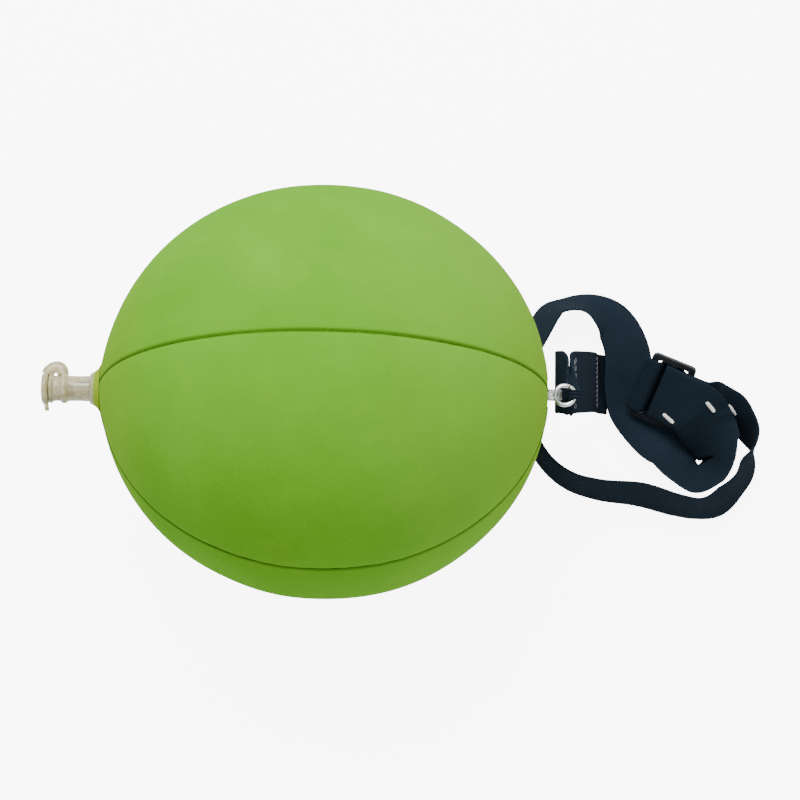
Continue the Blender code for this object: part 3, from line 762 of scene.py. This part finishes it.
def neck_strap():
    """The long loop, from its end hooked on the adjuster round to the run through both slots."""
    bm = bmesh.new()
    sweep(bm, strap_frames(), band_section(WEB_W - 0.2 * MM, WEB_T))
    add_piece("neck_webbing", bm, WEBBING, "loop", "black_webbing", "neck_strap")


# ------------------------------------------------------------------ adjuster and threads
def tri_glide():
    """The CAD's adjuster, kept, with softer edges and its own plastic."""
    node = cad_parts["tri_glide"]
    node.data.materials.clear()
    node.data.materials.append(PLASTIC)
    mod = node.modifiers.new("Soft edges", "BEVEL")
    mod.width = 0.45 * MM
    mod.segments = 3
    mod.limit_method = "ANGLE"
    mod.angle_limit = math.radians(35.0)
    mod.harden_normals = True


def stitch(bm, start, end, normal, radius):
    """One thread stitch: it rises out of the webbing, lies along it and goes back in."""
    lift = normal * radius
    points = [start - lift, start.lerp(end, 0.12) + lift * 0.5, start.lerp(end, 0.5) + lift,
              start.lerp(end, 0.88) + lift * 0.5, end - lift]
    smooth = spline([tuple(p) for p in points], (end - start).length / 9.0)
    sweep(bm, path_frames([Vector(p) for p in smooth], normal), round_section(radius, 8))


def tab_threads():
    """Two stitch rows near the ring, and a dense zigzag where the tab meets the loop."""
    rows = tab_rows()
    outer = rows[len(rows) // 3:]

    def surface(z):
        """Place, direction and outward normal of the outer leg at a height."""
        i = min(range(1, len(outer) - 1), key=lambda n: abs(outer[n][2] - z))
        ahead = (Vector(outer[i + 1][:3]) - Vector(outer[i - 1][:3])).normalized()
        normal = ACROSS.cross(ahead).normalized()
        if normal.x < 0.0:
            normal = -normal
        return Vector(outer[i][:3]), ahead, normal

    seam_count, stitch_share = 7, 0.72
    bm = bmesh.new()
    for height, reach in ((66.0 * MM, 10.0 * MM), (63.5 * MM, 10.5 * MM)):
        centre, _, normal = surface(height)
        base = centre + normal * STITCH_LIFT
        for k in range(seam_count):
            a = -reach + 2.0 * reach * k / seam_count
            b = a + 2.0 * reach / seam_count * stitch_share
            stitch(bm, base + ACROSS * a, base + ACROSS * b, normal, 0.22 * MM)
    add_piece("tab_seam_stitches", bm, GREY_THREAD, "tab", "grey_thread", "tab_seam")
    zigzag_width, zigzag_count = 21.0 * MM, 22
    bm = bmesh.new()
    centre, ahead, normal = surface(22.5 * MM)
    base = centre + normal * STITCH_LIFT
    for k in range(zigzag_count):
        a = -zigzag_width / 2 + zigzag_width * k / zigzag_count
        b = a + zigzag_width / zigzag_count
        tip = ahead * (1.2 * MM) * (1.0 if k % 2 else -1.0)
        stitch(bm, base + ACROSS * a - tip, base + ACROSS * b + tip, normal, 0.2 * MM)
    add_piece("tab_bartack_stitches", bm, GREY_THREAD, "tab", "grey_thread", "tab_bartack")


def bar_tack(number):
    """Dense satin stitches on the strap, where the CAD has a plain block.

    The block gives the place and the long direction, the strap below it gives the normal.
    """
    node = "bar_tack_%d" % number
    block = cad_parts[node]
    points = [block.matrix_world @ v.co for v in block.data.vertices]
    centre = sum(points, Vector()) / len(points)
    frames = strap_frames()
    pick = min(range(1, len(frames) - 1), key=lambda i: (frames[i][0] - centre).length)

    def gap(station):
        place, across, _ = station
        return (place + across * (centre - place).dot(across) - centre).length

    place, _, normal = min(frames[max(0, pick - 30):pick + 30], key=gap)
    if normal.dot(centre - place) < 0.0:
        normal = -normal
    along = max(points, key=lambda p: (p - centre).length) - centre
    for _ in range(2):
        along = sum(((p - centre) for p in points if (p - centre).dot(along) > 0.0), Vector())
    along = (along - normal * along.dot(normal)).normalized()
    side = normal.cross(along)
    foot = centre - normal * ((centre - place).dot(normal) - STITCH_LIFT)
    half, width, count = 2.8 * MM, 1.3 * MM, 15
    bm = bmesh.new()
    for k in range(count):
        a = -half + 2.0 * half * (k + 0.5) / count
        row = foot + along * a
        reach = side * (width / 2 * math.sqrt(max(0.05, 1.0 - (a / half) ** 6)))
        stitch(bm, row - reach, row + reach + along * (0.12 * MM), normal, 0.24 * MM)
    add_piece("tack_%d" % number, bm, WHITE_THREAD, "loop", "white_thread", node)


# ------------------------------------------------------------------ stage, light, camera
def area_light(name, place, target, size, power):
    data = bpy.data.lights.new(name, "AREA")
    data.shape = "DISK"
    data.size = size
    data.energy = power
    obj = bpy.data.objects.new(name, data)
    obj.location = place
    obj.rotation_euler = (Vector(target) - Vector(place)).to_track_quat("-Z", "Y").to_euler()
    bpy.context.scene.collection.objects.link(obj)


def stage():
    """Pale paper floor that glows mostly for the camera's own rays, an even sky and two soft lights."""
    seen_glow, other_glow = 7.0, 0.30
    white = (1.0, 1.0, 1.0)
    bm = bmesh.new()
    bmesh.ops.create_grid(bm, x_segments=4, y_segments=4, size=3.0)
    mesh = bpy.data.meshes.new("floor")
    bm.to_mesh(mesh)
    bm.free()
    g = Graph("floor_paper")
    tone = g.ramp(g.noise(object_place(g), 6.0, 2.0), [(0.3, 0.93), (0.7, 0.95)])
    seen = g.node("LightPath").outputs["Is Camera Ray"]
    g.set(Base_Color=tone, Roughness=0.9, Specular_IOR_Level=0.1, Emission_Color=white,
          Emission_Strength=g.math("ADD", g.times(seen, seen_glow), other_glow))
    mesh.materials.append(g.mat)
    floor = bpy.data.objects.new("floor", mesh)
    floor.location.z = -0.1 * MM
    bpy.context.scene.collection.objects.link(floor)
    world = bpy.data.worlds.new("studio")
    world.use_nodes = True
    sky = world.node_tree.nodes["Background"]
    sky.inputs["Color"].default_value = (*white, 1.0)
    sky.inputs["Strength"].default_value = 0.68
    bpy.context.scene.world = world
    area_light("key", (-0.15, 0.75, 1.25), (0.02, 0.0, 0.06), 0.9, 32.0)
    area_light("fill", (0.7, -0.6, 0.9), (0.08, 0.0, 0.03), 0.8, 2.0)


def camera():
    """Near overhead view: image up is +Y, ten degrees off the vertical and rolled a little."""
    elevation = math.radians(80.0)
    roll = math.radians(0.8)
    distance = 1.000
    frame_width = 0.3085
    target = Vector((0.0290, -0.0029, 0.0800))
    data = bpy.data.cameras.new("camera")
    data.sensor_width = 36.0
    data.lens = data.sensor_width * distance / frame_width
    obj = bpy.data.objects.new("camera", data)
    away = Vector((0.0, -math.cos(elevation), math.sin(elevation)))
    obj.location = target + away * distance
    turn = (-away).to_track_quat("-Z", "Y").to_matrix() @ Matrix.Rotation(roll, 3, "Z")
    obj.rotation_euler = turn.to_euler()
    bpy.context.scene.collection.objects.link(obj)
    bpy.context.scene.camera = obj


# ------------------------------------------------------------------ build
camera()
stage()
for gore in range(GORES):
    gore_skin(gore)
    seam_weld(gore)
valve_base()
valve_stem()
valve_stopper()
valve_tether()
valve_flap()
hang_patch()
hang_loop()
metal_ring()
strap_tab()
neck_strap()
tri_glide()
tab_threads()
for tack in (1, 2, 3):
    bar_tack(tack)
